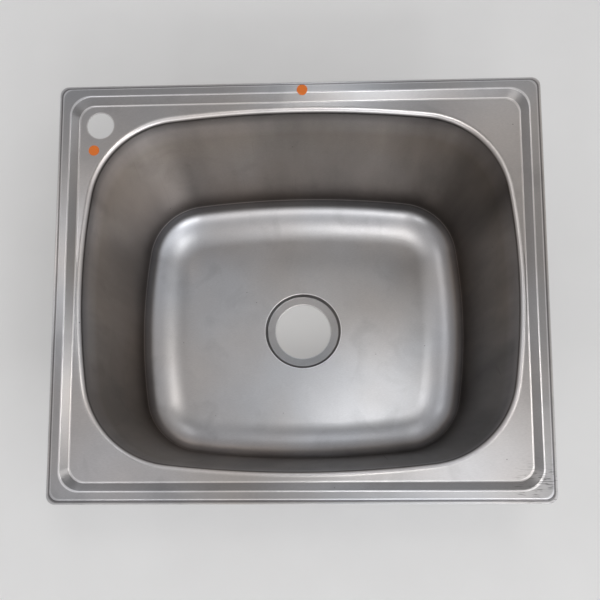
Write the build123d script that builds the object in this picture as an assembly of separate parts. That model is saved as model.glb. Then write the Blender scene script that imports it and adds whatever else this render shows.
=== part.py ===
from build123d import *
import math
import os

# An inset laundry tub: one deep bowl pressed in a plate whose rim lies on a worktop.
# All sizes are in millimetres and degrees. X runs to the right, Y to the back and Z up.
# The origin is the centre of the drain hole, on the face that the tub stands on.

# Pressed sheet
sheet = 1.0
crest_bend_radius = 1.6
foot_bend_radius = 1.0
slope_bend_radius = 3.0

# Plate, seen from above
plate_width = 630.0
plate_depth = 550.0
plate_corner_radius = 11.0

# Rim, from the outer edge inwards
lip_width = 4.2
riser_run = 1.4
band_width = 10.4
slope_run = 11.5
band_rise = 3.2
deck_drop = 4.2
band_corner_radius = 10.0
slope_top_corner_radius = 28.0
slope_foot_corner_radius = 20.0

# Bowl, whose four sides bow outwards to leave this much flat deck at their middles
deck_at_sides = 7.5
deck_at_front = 12.0
mouth_side_radius = 868.0
mouth_front_radius = 1434.0
mouth_corner_radius = 118.0
mouth_bend_radius = 5.0
bowl_depth = 235.0
wall_draft = 7.5
floor_edge_radius = 34.0

# Floor, which falls to the drain
fall_radius = 165.0
floor_fall = 2.5
drain_radius = 45.0
recess_floor_radius = 58.0
recess_top_radius = 62.0
recess_depth = 6.0

# Tap hole in the back left corner
tap_radius = 17.5
tap_from_left = 54.5
tap_from_back = 54.5

# Foam sealing tape in the hollow under the raised band
seal_from_edge = 7.6
seal_width = 7.0
seal_corner_radius = 8.0

# Rubber pads that quieten the bowl
pad_thickness = 3.0
floor_pad_from_centre = 76.0
floor_pad_width = 112.0
floor_pad_length = 250.0
pad_corner_radius = 14.0
side_pad_length = 210.0
side_pad_height = 110.0
side_pad_from_deck = 62.0

# Round paper markers stuck on the upper face
marker_radius = 7.0
marker_thickness = 0.2
back_marker_x = 5.7
back_marker_from_edge = 12.5
tap_marker_beside_tap = 7.7
tap_marker_before_tap = 34.0

# Worktop fixings: where they stand, and how far they reach
clip_from_edge = 26.0
side_clip_from_corner = 125.0
front_clip_from_corner = 135.0
worktop_thickest = 40.0
clip_travel = 22.0

# Threaded bracket, bent from strip and spot welded under the deck
strip = 2.0
strip_bend = 1.5
bracket_width = 20.0
bracket_back = 12.0
bracket_drop = 30.0
weld_flange_reach = 3.6
lug_reach = 8.0
lug_corner = 5.0
thread_boss_radius = 5.2
thread_boss_height = 2.5

# Clamping screw, washer and swinging claw
thread_radius = 3.0
thread_clearance = 0.05
tip_chamfer = 1.0
head_flat_to_flat = 10.0
head_height = 4.0
head_flange_radius = 6.8
head_flange_height = 1.2
slot_width = 1.4
slot_depth = 1.8
washer_radius = 7.6
washer_thickness = 1.6
claw_thickness = 2.5
claw_reach = 23.0
claw_hub_radius = 8.0
claw_tip_width = 12.0
claw_flat_reach = 11.5
claw_tip_thickness = 2.6
claw_hole_clearance = 0.08
tooth_depth = 2.2
tooth_count = 3
lug_gap = 1.0
tip_gap = 1.1

# How far a cutter runs past what it cuts, and how exactly a height has to be met
cutter_overrun = 8.0
level_tolerance = 0.02

# Heights that follow from the sizes above
recess_z = sheet
floor_low_z = recess_z + recess_depth
floor_z = floor_low_z + floor_fall
deck_z = floor_z + bowl_depth
crest_z = deck_z + deck_drop
lip_z = crest_z - band_rise
worktop_z = lip_z - sheet
deck_under_z = deck_z - sheet

# Rim profile as distance from the plate's edge and height, from the lip to the deck
riser_foot = lip_width
riser_top = riser_foot + riser_run
slope_top = riser_top + band_width
slope_foot = slope_top + slope_run
mouth_width = plate_width - 2.0 * (slope_foot + deck_at_sides)
mouth_depth = plate_depth - 2.0 * (slope_foot + deck_at_front)
rim_profile = [
    (0.0, lip_z),
    (riser_foot, lip_z),
    (riser_top, crest_z),
    (slope_top, crest_z),
    (slope_foot, deck_z),
    (slope_foot + slope_run, deck_z),
]
rim_corner_radii = [
    band_corner_radius + riser_run,
    band_corner_radius,
    slope_top_corner_radius,
    slope_foot_corner_radius,
]


def set_back(profile, depth):
    """The inner corners of the rim profile, moved into the sheet by a depth."""
    moved = []
    for before, point, after in zip(profile, profile[1:], profile[2:]):
        normals = []
        for start, end in ((before, point), (point, after)):
            run, rise = end[0] - start[0], end[1] - start[1]
            length = math.hypot(run, rise)
            normals.append((rise / length, -run / length))
        across = 1.0 + normals[0][0] * normals[1][0] + normals[0][1] * normals[1][1]
        moved.append(
            (
                point[0] + depth * (normals[0][0] + normals[1][0]) / across,
                point[1] + depth * (normals[0][1] + normals[1][1]) / across,
            )
        )
    return moved


def plate_outline(from_edge, corner_radius, z):
    """A rounded rectangle inside the plate's edge, at one height."""
    width = plate_width - 2.0 * from_edge
    depth = plate_depth - 2.0 * from_edge
    return Pos(0, 0, z) * RectangleRounded(width, depth, corner_radius)


def bowed_outline(grow, z):
    """The bowl's outline at the deck: four large circles overlap and their corners are rounded."""
    side = mouth_side_radius + grow
    front = mouth_front_radius + grow
    side_centre = mouth_side_radius - mouth_width / 2.0
    front_centre = mouth_front_radius - mouth_depth / 2.0
    shape = Pos(side_centre, 0) * Circle(side) & Pos(-side_centre, 0) * Circle(side)
    shape = shape & Pos(0, front_centre) * Circle(front) & Pos(0, -front_centre) * Circle(front)
    return Pos(0, 0, z) * fillet(shape.vertices(), mouth_corner_radius + grow)


def bowl_space(depth):
    """The room inside the bowl, grown by a depth into the sheet."""
    grow = depth / math.cos(math.radians(wall_draft))
    space = extrude(bowed_outline(grow, deck_z), -(bowl_depth + depth), taper=wall_draft)
    foot = space.edges().group_by(Axis.Z)[0]
    space = fillet(foot, floor_edge_radius + depth)
    hanging = (Align.CENTER, Align.CENTER, Align.MAX)
    fall = Cone(recess_top_radius, fall_radius, floor_fall, align=hanging)
    recess = Cone(
        recess_floor_radius + depth, recess_top_radius + depth, recess_depth, align=hanging
    )
    return space + Pos(0, 0, floor_z - depth) * fall + Pos(0, 0, floor_low_z - depth) * recess


def level_edges(shape, z, before=None):
    """The edges that lie level at one height, less those that an earlier shape already had."""
    known = [edge.center() for edge in before.edges()] if before else []
    found = []
    for edge in shape.edges():
        box = edge.bounding_box()
        level = box.min.Z > z - level_tolerance and box.max.Z < z + level_tolerance
        middle = edge.center()
        if level and all((middle - other).length > level_tolerance for other in known):
            found.append(edge)
    return found


def room_below(depth):
    """Everything under the tub's upper face, with that face moved down into the sheet by a depth."""
    corners = set_back(rim_profile, depth)
    rings = [
        plate_outline(moved[0], radius - (moved[0] - point[0]), moved[1])
        for radius, moved, point in zip(rim_corner_radii, corners, rim_profile[1:])
    ]
    base = plate_outline(-depth, plate_corner_radius + depth, -cutter_overrun)
    block = extrude(base, lip_z - depth + cutter_overrun)
    room = block + loft(rings[0:2])
    room = fillet(level_edges(room, lip_z - depth, block), foot_bend_radius + depth)
    room = room - loft(rings[2:4])
    room = fillet(level_edges(room, crest_z - depth), crest_bend_radius - depth)
    room = fillet(level_edges(room, deck_z - depth), slope_bend_radius + depth)
    deck = room
    room = deck - bowl_space(depth)
    mouth = level_edges(room, deck_z - depth, deck)
    return fillet(mouth, mouth_bend_radius - depth)


def hole(radius, x, y):
    """An upright round cutter that passes through the whole tub."""
    length = crest_z + 2.0 * cutter_overrun
    return Pos(x, y, -cutter_overrun) * Cylinder(
        radius, length, align=(Align.CENTER, Align.CENTER, Align.MIN)
    )


# The tub: the room under its upper face, less the room under its lower face
half_width = plate_width / 2.0
half_depth = plate_depth / 2.0
tap_x = tap_from_left - half_width
tap_y = half_depth - tap_from_back
upper_room = room_below(0.0)
tub = upper_room - room_below(sheet)
tub = tub - hole(drain_radius, 0, 0) - hole(tap_radius, tap_x, tap_y)

# Sealing tape, cut in four lengths that meet in a mitre at the corners
seal_height = crest_z - sheet - worktop_z
seal_inner = seal_from_edge + seal_width
seal_room = Rectangle(plate_width - 2.0 * seal_inner, plate_depth - 2.0 * seal_inner)
seal_face = plate_outline(seal_from_edge, seal_corner_radius, 0) - seal_room
seal_ring = extrude(Pos(0, 0, worktop_z) * seal_face, seal_height)


def mitred_side(half_length, edge, turn):
    """Room over one side of the plate, whose ends run in at 45 degrees from two corners."""
    reach = seal_inner + seal_width
    corners = [
        (-half_length, edge),
        (half_length, edge),
        (half_length - reach, edge - reach),
        (reach - half_length, edge - reach),
    ]
    side = extrude(make_face(Polyline(*corners, close=True)), crest_z)
    return Rot(0, 0, turn) * side


seals = {
    "seal_back": seal_ring & mitred_side(half_width, half_depth, 0),
    "seal_left": seal_ring & mitred_side(half_depth, half_width, 90),
    "seal_front": seal_ring & mitred_side(half_width, half_depth, 180),
    "seal_right": seal_ring & mitred_side(half_depth, half_width, 270),
}

# Quietening pads: the skin of rubber that lies against the bowl, cut to each pad's outline
pad_skin = bowl_space(sheet + pad_thickness) - bowl_space(sheet)
floor_pad = extrude(
    RectangleRounded(floor_pad_width, floor_pad_length, pad_corner_radius), floor_z
)
floor_pad_x = floor_pad_from_centre + floor_pad_width / 2.0
side_outline = RectangleRounded(side_pad_length, side_pad_height, pad_corner_radius)
side_pad = extrude(Plane.YZ * side_outline, half_width)
side_pad_z = deck_z - side_pad_from_deck - side_pad_height / 2.0
pads = {
    "floor_pad_left": pad_skin & Pos(-floor_pad_x, 0, 0) * floor_pad,
    "floor_pad_right": pad_skin & Pos(floor_pad_x, 0, 0) * floor_pad,
    "side_pad_left": pad_skin & Pos(-half_width, 0, side_pad_z) * side_pad,
    "side_pad_right": pad_skin & Pos(0, 0, side_pad_z) * side_pad,
}

# Paper markers: a thin skin on the upper face, cut round
marker_skin = Pos(0, 0, marker_thickness) * upper_room - upper_room
back_marker_y = half_depth - back_marker_from_edge
tap_marker_x = tap_x - tap_marker_beside_tap
tap_marker_y = tap_y - tap_marker_before_tap
markers = {
    "marker_back": marker_skin & hole(marker_radius, back_marker_x, back_marker_y),
    "marker_tap": marker_skin & hole(marker_radius, tap_marker_x, tap_marker_y),
}

# Worktop fixing, drawn about its screw: X points out from the tub and zero is the worktop's top
flange_top = deck_under_z - worktop_z
lug_top = -bracket_drop
lug_under = lug_top - strip
hub_top = lug_under - lug_gap - clip_travel
hub_under = hub_top - claw_thickness
washer_under = hub_under - washer_thickness
head_top = washer_under
screw_length = flange_top - tip_gap - clip_travel - head_top
tooth_top = -worktop_thickest


def screw_bore(clearance):
    """A cutter for the screw's shank, longer than the fixing."""
    return Pos(0, 0, -worktop_z) * hole(thread_radius + clearance, 0, 0)


def bent_bracket():
    """Strip bent to a C: a flange to weld under the deck, a web, and a lug with a threaded boss."""
    back = -bracket_back - strip
    path = Polyline(
        (-weld_flange_reach, flange_top),
        (back, flange_top),
        (back, lug_under),
        (lug_reach, lug_under),
    )
    outer = fillet(path.vertices()[1:3], strip_bend + strip)
    inner_path = Polyline(
        (lug_reach, lug_top),
        (-bracket_back, lug_top),
        (-bracket_back, flange_top - strip),
        (-weld_flange_reach, flange_top - strip),
    )
    inner = fillet(inner_path.vertices()[1:3], strip_bend)
    ends = [
        Line((lug_reach, lug_under), (lug_reach, lug_top)),
        Line((-weld_flange_reach, flange_top - strip), (-weld_flange_reach, flange_top)),
    ]
    side = make_face(outer.edges() + inner.edges() + ends)
    body = extrude(Plane.XZ * side, bracket_width / 2.0, both=True)
    boss = Pos(0, 0, lug_top) * Cylinder(
        thread_boss_radius, thread_boss_height, align=(Align.CENTER, Align.CENTER, Align.MIN)
    )
    lug_corners = body.edges().filter_by(Axis.Z).group_by(Axis.X)[-1]
    body = chamfer(lug_corners, lug_corner) + boss
    return body - screw_bore(thread_clearance)


def clamping_screw():
    """Hexagon head with a washer face and a driver slot, and a plain shank with a chamfered tip."""
    up = (Align.CENTER, Align.CENTER, Align.MIN)
    hexagon_radius = head_flat_to_flat / math.sqrt(3.0)
    head = extrude(RegularPolygon(hexagon_radius, 6), head_height)
    slot = Box(2.0 * head_flange_radius, slot_width, slot_depth, align=up)
    flange = Cylinder(head_flange_radius, head_flange_height, align=up)
    shank = Cylinder(thread_radius, screw_length, align=up)
    shank = chamfer(shank.edges().group_by(Axis.Z)[-1], tip_chamfer)
    flange_under = head_height - head_flange_height
    screw = head - slot + Pos(0, 0, flange_under) * flange + Pos(0, 0, head_height) * shank
    return Pos(0, 0, head_top - head_height) * screw


def plain_washer():
    """The washer between the screw's head and the claw."""
    face = Circle(washer_radius) - Circle(thread_radius + thread_clearance)
    return Pos(0, 0, washer_under) * extrude(face, washer_thickness)


def swinging_claw():
    """Pressed claw: a round hub, an arm that climbs away from it, and a toothed tip."""
    hub_edge = -claw_hub_radius
    tip_inner = claw_reach - claw_tip_thickness
    side = Polyline(
        (hub_edge, hub_under),
        (claw_flat_reach + claw_thickness, hub_under),
        (claw_reach, hub_under + claw_reach - claw_flat_reach - claw_thickness),
        (claw_reach, tooth_top),
        (tip_inner, tooth_top),
        (tip_inner, hub_top + tip_inner - claw_flat_reach),
        (claw_flat_reach, hub_top),
        (hub_edge, hub_top),
        close=True,
    )
    arm = extrude(Plane.XZ * make_face(side), claw_hub_radius, both=True)
    hub = Circle(claw_hub_radius)
    tip = Pos(tip_inner, 0) * Rectangle(2.0 * claw_tip_thickness, claw_tip_width)
    plan = make_hull(hub.edges() + tip.edges())
    claw = arm & extrude(Pos(0, 0, hub_under) * plan, tooth_top - hub_under)
    pitch = claw_tip_width / tooth_count
    half_pitch = pitch / 2.0
    notch_side = Polyline((-half_pitch, 0), (half_pitch, 0), (0, -tooth_depth), close=True)
    notch = extrude(Plane.YZ * make_face(notch_side), claw_reach)
    for step in range(tooth_count - 1):
        across = (step + 1) * pitch - claw_tip_width / 2.0
        claw = claw - Pos(claw_flat_reach, across, tooth_top) * notch
    return claw - screw_bore(claw_hole_clearance)


# Eight fixings, two along each side, with every claw folded in beside the bowl
side_x = half_width - clip_from_edge
front_y = half_depth - clip_from_edge
clip_along_side = half_depth - side_clip_from_corner
clip_along_front = half_width - front_clip_from_corner
stations = {
    "right_front": (side_x, -clip_along_side, 0),
    "right_back": (side_x, clip_along_side, 0),
    "back_right": (clip_along_front, front_y, 90),
    "back_left": (-clip_along_front, front_y, 90),
    "left_back": (-side_x, clip_along_side, 180),
    "left_front": (-side_x, -clip_along_side, 180),
    "front_left": (-clip_along_front, -front_y, 270),
    "front_right": (clip_along_front, -front_y, 270),
}
fixing = {
    "clip_bracket": bent_bracket(),
    "clip_washer": plain_washer(),
    "clip_screw": clamping_screw(),
    "clip_claw": Rot(0, 0, -90) * swinging_claw(),
}

nodes = {"tub_shell": tub, **seals, **pads, **markers}
for station, (x, y, heading) in stations.items():
    for piece, shape in fixing.items():
        nodes[f"{piece}_{station}"] = Pos(x, y, worktop_z) * Rot(0, 0, heading) * shape

os.makedirs("parts", exist_ok=True)
for name, shape in nodes.items():
    shape.label = name
    export_step(shape, f"parts/{name}.step")
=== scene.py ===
import bmesh
import bpy
import math
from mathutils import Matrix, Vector
from mathutils.geometry import tessellate_polygon


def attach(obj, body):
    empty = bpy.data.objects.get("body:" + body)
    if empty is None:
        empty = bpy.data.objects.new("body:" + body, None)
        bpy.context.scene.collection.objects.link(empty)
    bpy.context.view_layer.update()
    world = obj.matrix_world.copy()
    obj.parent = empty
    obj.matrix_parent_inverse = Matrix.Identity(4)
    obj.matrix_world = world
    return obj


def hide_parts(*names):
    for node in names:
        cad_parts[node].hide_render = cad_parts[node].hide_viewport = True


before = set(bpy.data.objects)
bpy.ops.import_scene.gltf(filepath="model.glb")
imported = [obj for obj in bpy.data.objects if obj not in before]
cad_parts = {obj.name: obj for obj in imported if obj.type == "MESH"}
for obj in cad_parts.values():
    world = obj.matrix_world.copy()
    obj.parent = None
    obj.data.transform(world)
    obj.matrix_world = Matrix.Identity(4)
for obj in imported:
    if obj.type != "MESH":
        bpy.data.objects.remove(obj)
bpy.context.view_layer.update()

# Camera
# The tub lies flat and is seen from nearly straight above its front edge. The lens is
# shifted, as in a picture that was taken over the front edge and then cut to the plate.
camera_data = bpy.data.cameras.new("camera")
camera_data.sensor_width = 36.0
camera_data.lens = 38.4
camera_data.shift_y = 0.2
camera_data.clip_start = 0.01
camera_data.clip_end = 50.0
camera = bpy.data.objects.new("camera", camera_data)
camera.location = (0.0253, -0.2513, 1.0368)
camera.rotation_euler = (0.1009, 0.0303, -0.0031)
bpy.context.collection.objects.link(camera)
bpy.context.scene.camera = camera
bpy.context.scene.view_settings.view_transform = "Standard"


# Floor and light
# A wide, pale, matt floor under the tub. The room is a soft grey one, dim overhead and bright
# to the front right, and eight of the ten soft lamps stand where the steel mirrors them.
def node_material(name):
    """A material with a plain Principled shader, its node tree and that shader."""
    material = bpy.data.materials.new(name)
    material.use_nodes = True
    return material, material.node_tree, material.node_tree.nodes["Principled BSDF"]


def add_node(tree, kind, **settings):
    """A shader node with its settings and its sockets' plain values."""
    node = tree.nodes.new("ShaderNode" + kind)
    for key, value in settings.items():
        if hasattr(node, key):
            setattr(node, key, value)
        else:
            node.inputs[key.replace("_", " ")].default_value = value
    return node


def wire(tree, *links):
    """Joins nodes; each link is (node, output, node, input)."""
    for start, output, end, into in links:
        tree.links.new(start.outputs[output], end.inputs[into])


def add_ramp(tree, *stops):
    """A colour ramp with stops of (position, colour), where a single number is a grey."""
    node = add_node(tree, "ValToRGB")
    stops = [(at, shade if isinstance(shade, tuple) else (shade,) * 3) for at, shade in stops]
    for element, (position, shade) in zip(node.color_ramp.elements, (stops[0], stops[-1])):
        element.position = position
        element.color = (*shade, 1.0)
    for position, shade in stops[1:-1]:
        node.color_ramp.elements.new(position).color = (*shade, 1.0)
    return node


def add_range(tree, start, end, low, high, **settings):
    """A node that maps the values from start to end onto those from low to high."""
    node = add_node(tree, "MapRange", **settings)
    for socket, value in zip(("From Min", "From Max", "To Min", "To Max"), (start, end, low, high)):
        node.inputs[socket].default_value = value
    return node


def add_texture(tree, kind, stretch=None, turn=(0.0, 0.0, 0.0), **settings):
    """A texture in the piece's own coordinates, stretched and turned where that is asked for."""
    texture = add_node(tree, kind, **settings)
    source, output = add_node(tree, "TexCoord"), "Object"
    if stretch:
        mapping = add_node(tree, "Mapping", Scale=stretch, Rotation=turn)
        wire(tree, (source, output, mapping, "Vector"))
        source, output = mapping, "Vector"
    wire(tree, (source, output, texture, "Vector"))
    return texture


def product(tree, kind, *factors):
    """Multiplies outputs, each given as (node, output), in Math or VectorMath nodes."""
    (node, output), *others = factors
    for factor, factor_output in others:
        times = add_node(tree, kind, operation="MULTIPLY")
        wire(tree, (node, output, times, 0), (factor, factor_output, times, 1))
        node, output = times, 0
    return node


def mesh_object(name, points, faces, material):
    """A piece made of points and faces, smooth, with its material."""
    mesh = bpy.data.meshes.new(name)
    mesh.from_pydata(points, [], faces)
    mesh.materials.append(material)
    mesh.polygons.foreach_set("use_smooth", [True] * len(mesh.polygons))
    piece = bpy.data.objects.new(name, mesh)
    bpy.context.collection.objects.link(piece)
    return piece


floor_material, floor_tree, floor_shader = node_material("pale_floor")
floor_shader.inputs["Roughness"].default_value = 0.85
floor_grain = add_texture(floor_tree, "TexNoise", Scale=9.0, Detail=5.0)
floor_tint = add_ramp(floor_tree, (0.0, (0.86, 0.855, 0.845)), (1.0, (0.91, 0.905, 0.895)))
wire(
    floor_tree,
    (floor_grain, "Fac", floor_tint, "Fac"),
    (floor_tint, "Color", floor_shader, "Base Color"),
)

FLOOR_REACH = 12.0
FLOOR_GAP = 0.0004
SQUARE = ((-1, -1), (1, -1), (1, 1), (-1, 1))
floor_points = [(x * FLOOR_REACH, y * FLOOR_REACH, -FLOOR_GAP) for x, y in SQUARE]
floor = mesh_object("floor", floor_points, [(0, 1, 2, 3)], floor_material)

room = bpy.data.worlds.new("room")
bpy.context.scene.world = room
room.use_nodes = True
room_tree = room.node_tree
room_place = add_node(room_tree, "TexCoord")
room_axes = add_node(room_tree, "SeparateXYZ")

# Grey from the horizon up to overhead, with a dark gap to the back of overhead
room_shade = add_ramp(
    room_tree,
    *((0.0, 0.80), (0.15, 0.72), (0.34, 0.50), (0.70, 0.44), (0.86, 0.46)),
    *((0.95, 0.50), (0.985, 0.74), (0.996, 0.42), (1.0, 0.34)),
)
room_gap = add_node(room_tree, "VectorMath", operation="DISTANCE")
room_gap.inputs[1].default_value = (0.04, 0.33, 0.94)
room_dim = add_range(room_tree, 0.07, 0.30, 0.0, 1.0, interpolation_type="SMOOTHSTEP")
room_ceiling = add_node(room_tree, "VectorMath", operation="SCALE")

# Well above the horizon, cooler and much brighter to the front right
room_side = add_node(room_tree, "VectorMath", operation="DOT_PRODUCT")
room_side.inputs[1].default_value = (0.6, -0.6, 0.0)
room_turn = add_range(room_tree, -0.5, 0.8, 0.0, 1.0)
room_height = add_range(room_tree, 0.28, 0.52, 0.0, 1.0)
room_slant = product(room_tree, "Math", (room_turn, "Result"), (room_height, "Result"))
room_tone = add_ramp(
    room_tree,
    *((0.0, (0.92, 0.91, 0.92)), (0.28, (0.92, 0.91, 0.91)), (0.45, (0.96, 0.94, 0.92))),
    *((0.60, (1.1, 1.1, 1.12)), (0.72, (2.3, 2.33, 2.4)), (0.82, (3.3, 3.35, 3.45))),
    (1.0, (2.5, 2.55, 2.65)),
)
room_blend = product(room_tree, "VectorMath", (room_ceiling, "Vector"), (room_tone, "Color"))
wire(
    room_tree,
    (room_place, "Generated", room_axes, "Vector"),
    (room_axes, "Z", room_shade, "Fac"),
    (room_axes, "Z", room_height, "Value"),
    (room_place, "Generated", room_side, 0),
    (room_side, "Value", room_turn, "Value"),
    (room_slant, "Value", room_tone, "Fac"),
    (room_place, "Generated", room_gap, 0),
    (room_gap, "Value", room_dim, "Value"),
    (room_shade, "Color", room_ceiling, 0),
    (room_dim, "Result", room_ceiling, "Scale"),
    (room_blend, "Vector", room_tree.nodes["Background"], "Color"),
)


def soft_lamp(name, place, aim, size, power, colour):
    """A flat soft lamp that faces a point; its size is (width, depth)."""
    data = bpy.data.lights.new(name, "AREA")
    data.shape = "RECTANGLE"
    data.size, data.size_y = size
    data.energy = power
    data.color = colour
    lamp = bpy.data.objects.new(name, data)
    lamp.location = place
    lamp.rotation_euler = (Vector(aim) - Vector(place)).to_track_quat("-Z", "Y").to_euler()
    bpy.context.collection.objects.link(lamp)


# Eight lamps lay the patches on the bowl's floor and back wall and on the deck. The last two
# stand further out and light the tub from the front
WARM, COOL = (1.0, 0.985, 0.96), (0.97, 0.985, 1.0)
ROSE, AMBER = (1.0, 0.98, 1.0), (1.0, 0.97, 0.94)
soft_lamp("bowl_lamp", (0.19, 0.06, 1.6), (0.08, -0.05, 0.0), (0.28, 0.18), 1.3, WARM)
soft_lamp("deck_lamp", (0.56, -0.27, 1.6), (0.2, -0.15, 0.2), (0.36, 0.26), 0.65, WARM)
soft_lamp("corner_lamp_front", (-0.70, -0.23, 1.6), (-0.25, -0.23, 0.24), (0.26, 0.26), 0.18, ROSE)
soft_lamp("corner_lamp_back", (0.67, 1.04, 1.6), (0.26, 0.22, 0.24), (0.26, 0.26), 0.22, AMBER)
soft_lamp("patch_lamp", (-0.2, 0.30, 1.6), (-0.1, 0.0, 0.0), (0.14, 0.16), 0.09, (0.98, 0.99, 1.0))
soft_lamp("back_lamp", (0.05, 1.1, 1.6), (0.03, 0.26, 0.24), (0.16, 0.3), 0.6, (0.96, 0.98, 1.0))
soft_lamp("left_lamp", (-0.83, 0.51, 1.6), (-0.29, 0.03, 0.24), (0.3, 0.3), 0.72, COOL)
soft_lamp("wall_lamp", (0.22, -1.48, 1.6), (0.05, 0.05, 0.0), (0.36, 0.2), 2.4, (1.0, 0.99, 0.97))
soft_lamp("front_lamp_right", (1.0, -1.75, 1.9), (0.0, 0.0, 0.1), (0.35, 0.35), 5.0, COOL)
soft_lamp("front_lamp_left", (-0.9, -1.75, 1.9), (0.0, 0.0, 0.1), (0.3, 0.3), 3.0, COOL)

# Tub
# One sheet of 1 mm stainless steel, pressed into a plate with a raised band and a deep
# bowl, then polished to a satin sheen. The drain and tap holes are punched.
MM = 0.001
SHEET = 1.0
PLATE = (315.0, 275.0)
LIP_Z, CREST_Z, DECK_Z, FLOOR_Z = 245.5, 248.7, 244.5, 9.5
RECESS_TOP_Z, RECESS_Z = 7.0, 1.0
CORNER_STEPS = 20
QUADRANTS = ((1, 1), (-1, 1), (-1, -1), (1, -1))


def arc_between(before, corner, after, radius, steps):
    """Points of an arc that rounds the corner of a profile."""
    corner = Vector(corner)
    back = (Vector(before) - corner).normalized()
    ahead = (Vector(after) - corner).normalized()
    half = back.angle(ahead) / 2.0
    reach = radius / math.tan(half)
    centre = corner + (back + ahead).normalized() * (radius / math.sin(half))
    start = corner + back * reach - centre
    end = corner + ahead * reach - centre
    sweep = start.angle(end)
    found = []
    for step in range(steps + 1):
        share = step / steps
        mixed = start * math.sin((1.0 - share) * sweep) + end * math.sin(share * sweep)
        found.append(centre + mixed / math.sin(sweep))
    return found


def rounded_profile(corners, radii, steps):
    """A profile of straight runs whose corners are rounded."""
    found = [Vector(corners[0])]
    for index, (radius, count) in enumerate(zip(radii, steps)):
        found += arc_between(corners[index], corners[index + 1], corners[index + 2], radius, count)
    return found + [Vector(corners[-1])]


def plate_ring(inset, corner_radius, z):
    """A closed ring of points, a rounded rectangle inside the plate's edge."""
    ring = []
    for turn, (sx, sy) in enumerate(QUADRANTS):
        centre = (sx * (PLATE[0] - inset - corner_radius), sy * (PLATE[1] - inset - corner_radius))
        for step in range(CORNER_STEPS + 1):
            angle = math.radians(90.0 * (turn + step / CORNER_STEPS))
            dx, dy = corner_radius * math.cos(angle), corner_radius * math.sin(angle)
            ring.append((centre[0] + dx, centre[1] + dy, z))
    return ring


# The rim, from half a sheet inside the plate's edge to just past the foot of the slope. The last
# value of each rim point is above zero for a painted highlight, on the bends and the lip's edge,
# and below zero for painted shade, in the groove at the riser's foot and over the band and slope.
# Each bend is as (corner, radius, steps, painted light, painted light of the run after it)
EDGE_CORNER, RIM_END, BLEND = 11.0, 33.0, 0.5
rim_bends = (
    ((4.2, LIP_Z), 1.0, 4, -1.0, None),
    ((5.6, CREST_Z), 1.6, 5, 0.5, -0.35),
    ((16.0, CREST_Z), 4.0, 5, 1.0, -0.7),
    ((27.5, DECK_Z), 5.0, 6, 1.0, 0.0),
)
rim_corners = [(SHEET / 2.0, LIP_Z)] + [bend[0] for bend in rim_bends] + [(RIM_END, DECK_Z)]
lip_painted_light = ((SHEET / 2.0, 0.6), (1.2, 0.3), (2.0, 0.0), (2.7, -0.9))
rim_line = [(inset, LIP_Z, painted_light) for inset, painted_light in lip_painted_light]
run_before = None
for index, (corner, radius, steps, painted_light, run_after) in enumerate(rim_bends):
    arc = arc_between(rim_corners[index], corner, rim_corners[index + 2], radius, steps)
    before = (Vector(rim_corners[index]) - Vector(corner)).normalized() * BLEND
    after = (Vector(rim_corners[index + 2]) - Vector(corner)).normalized() * BLEND
    if run_before is not None:
        rim_line.append((*(arc[0] + before), run_before))
    rim_line += [(*point, painted_light) for point in arc]
    if run_after is not None:
        rim_line.append((*(arc[-1] + after), run_after))
    run_before = run_after
corner_radii = (
    (0.0, EDGE_CORNER),
    (4.2, 11.4),
    (5.6, 10.0),
    (16.0, 28.0),
    (27.5, 20.0),
    (40.0, 20.0),
)


def corner_radius_at(inset):
    """The radius of the rim's corner line at an inset from the plate's edge."""
    for (a, ra), (b, rb) in zip(corner_radii, corner_radii[1:]):
        if inset <= b:
            return ra + (rb - ra) * (inset - a) / (b - a)


# The bowl's outline: four wide arcs and four corner arcs that share their tangents
SIDE_RADIUS, FRONT_RADIUS, CORNER_RADIUS = 868.0, 1434.0, 118.0
MOUTH = (280.0, 235.5)
DRAFT = math.radians(7.5)
side_centre, front_centre = SIDE_RADIUS - MOUTH[0], FRONT_RADIUS - MOUTH[1]
side_reach, front_reach = SIDE_RADIUS - CORNER_RADIUS, FRONT_RADIUS - CORNER_RADIUS
apart = math.hypot(side_centre, front_centre)
along = (side_reach**2 - front_reach**2 + apart**2) / (2.0 * apart)
aside = math.sqrt(side_reach**2 - along**2)
to_x, to_y = side_centre / apart, -front_centre / apart
corner_centre = (-side_centre + along * to_x - aside * to_y, along * to_y + aside * to_x)
side_angle = math.atan2(corner_centre[1], corner_centre[0] + side_centre)
front_angle = math.atan2(corner_centre[1] + front_centre, corner_centre[0])
SIDE_STEPS, BOW_STEPS, FRONT_STEPS = 14, 36, 18


def bowl_outline():
    """One quarter of the outline as (centre, radius, angle), mirrored to the whole ring."""
    quarter = []
    for step in range(SIDE_STEPS + 1):
        quarter.append(((-side_centre, 0.0), SIDE_RADIUS, side_angle * step / SIDE_STEPS))
    for step in range(1, BOW_STEPS):
        angle = side_angle + (front_angle - side_angle) * (step / BOW_STEPS)
        quarter.append((corner_centre, CORNER_RADIUS, angle))
    for step in range(FRONT_STEPS + 1):
        angle = front_angle + (math.pi / 2.0 - front_angle) * (step / FRONT_STEPS)
        quarter.append(((0.0, -front_centre), FRONT_RADIUS, angle))
    ring = []
    for centre, radius, angle in quarter:
        nx, ny = math.cos(angle), math.sin(angle)
        ring.append((centre[0] + radius * nx, centre[1] + radius * ny, nx, ny))
    left = [(-x, y, -nx, ny) for x, y, nx, ny in reversed(ring[:-1])]
    back = ring + left
    front = [(x, -y, nx, -ny) for x, y, nx, ny in reversed(back[1:-1])]
    return back + front


outline = bowl_outline()


def bowl_ring(inset, z):
    """The bowl's outline moved inwards by an inset, at one height."""
    return [(x - inset * nx, y - inset * ny, z) for x, y, nx, ny in outline]


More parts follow.
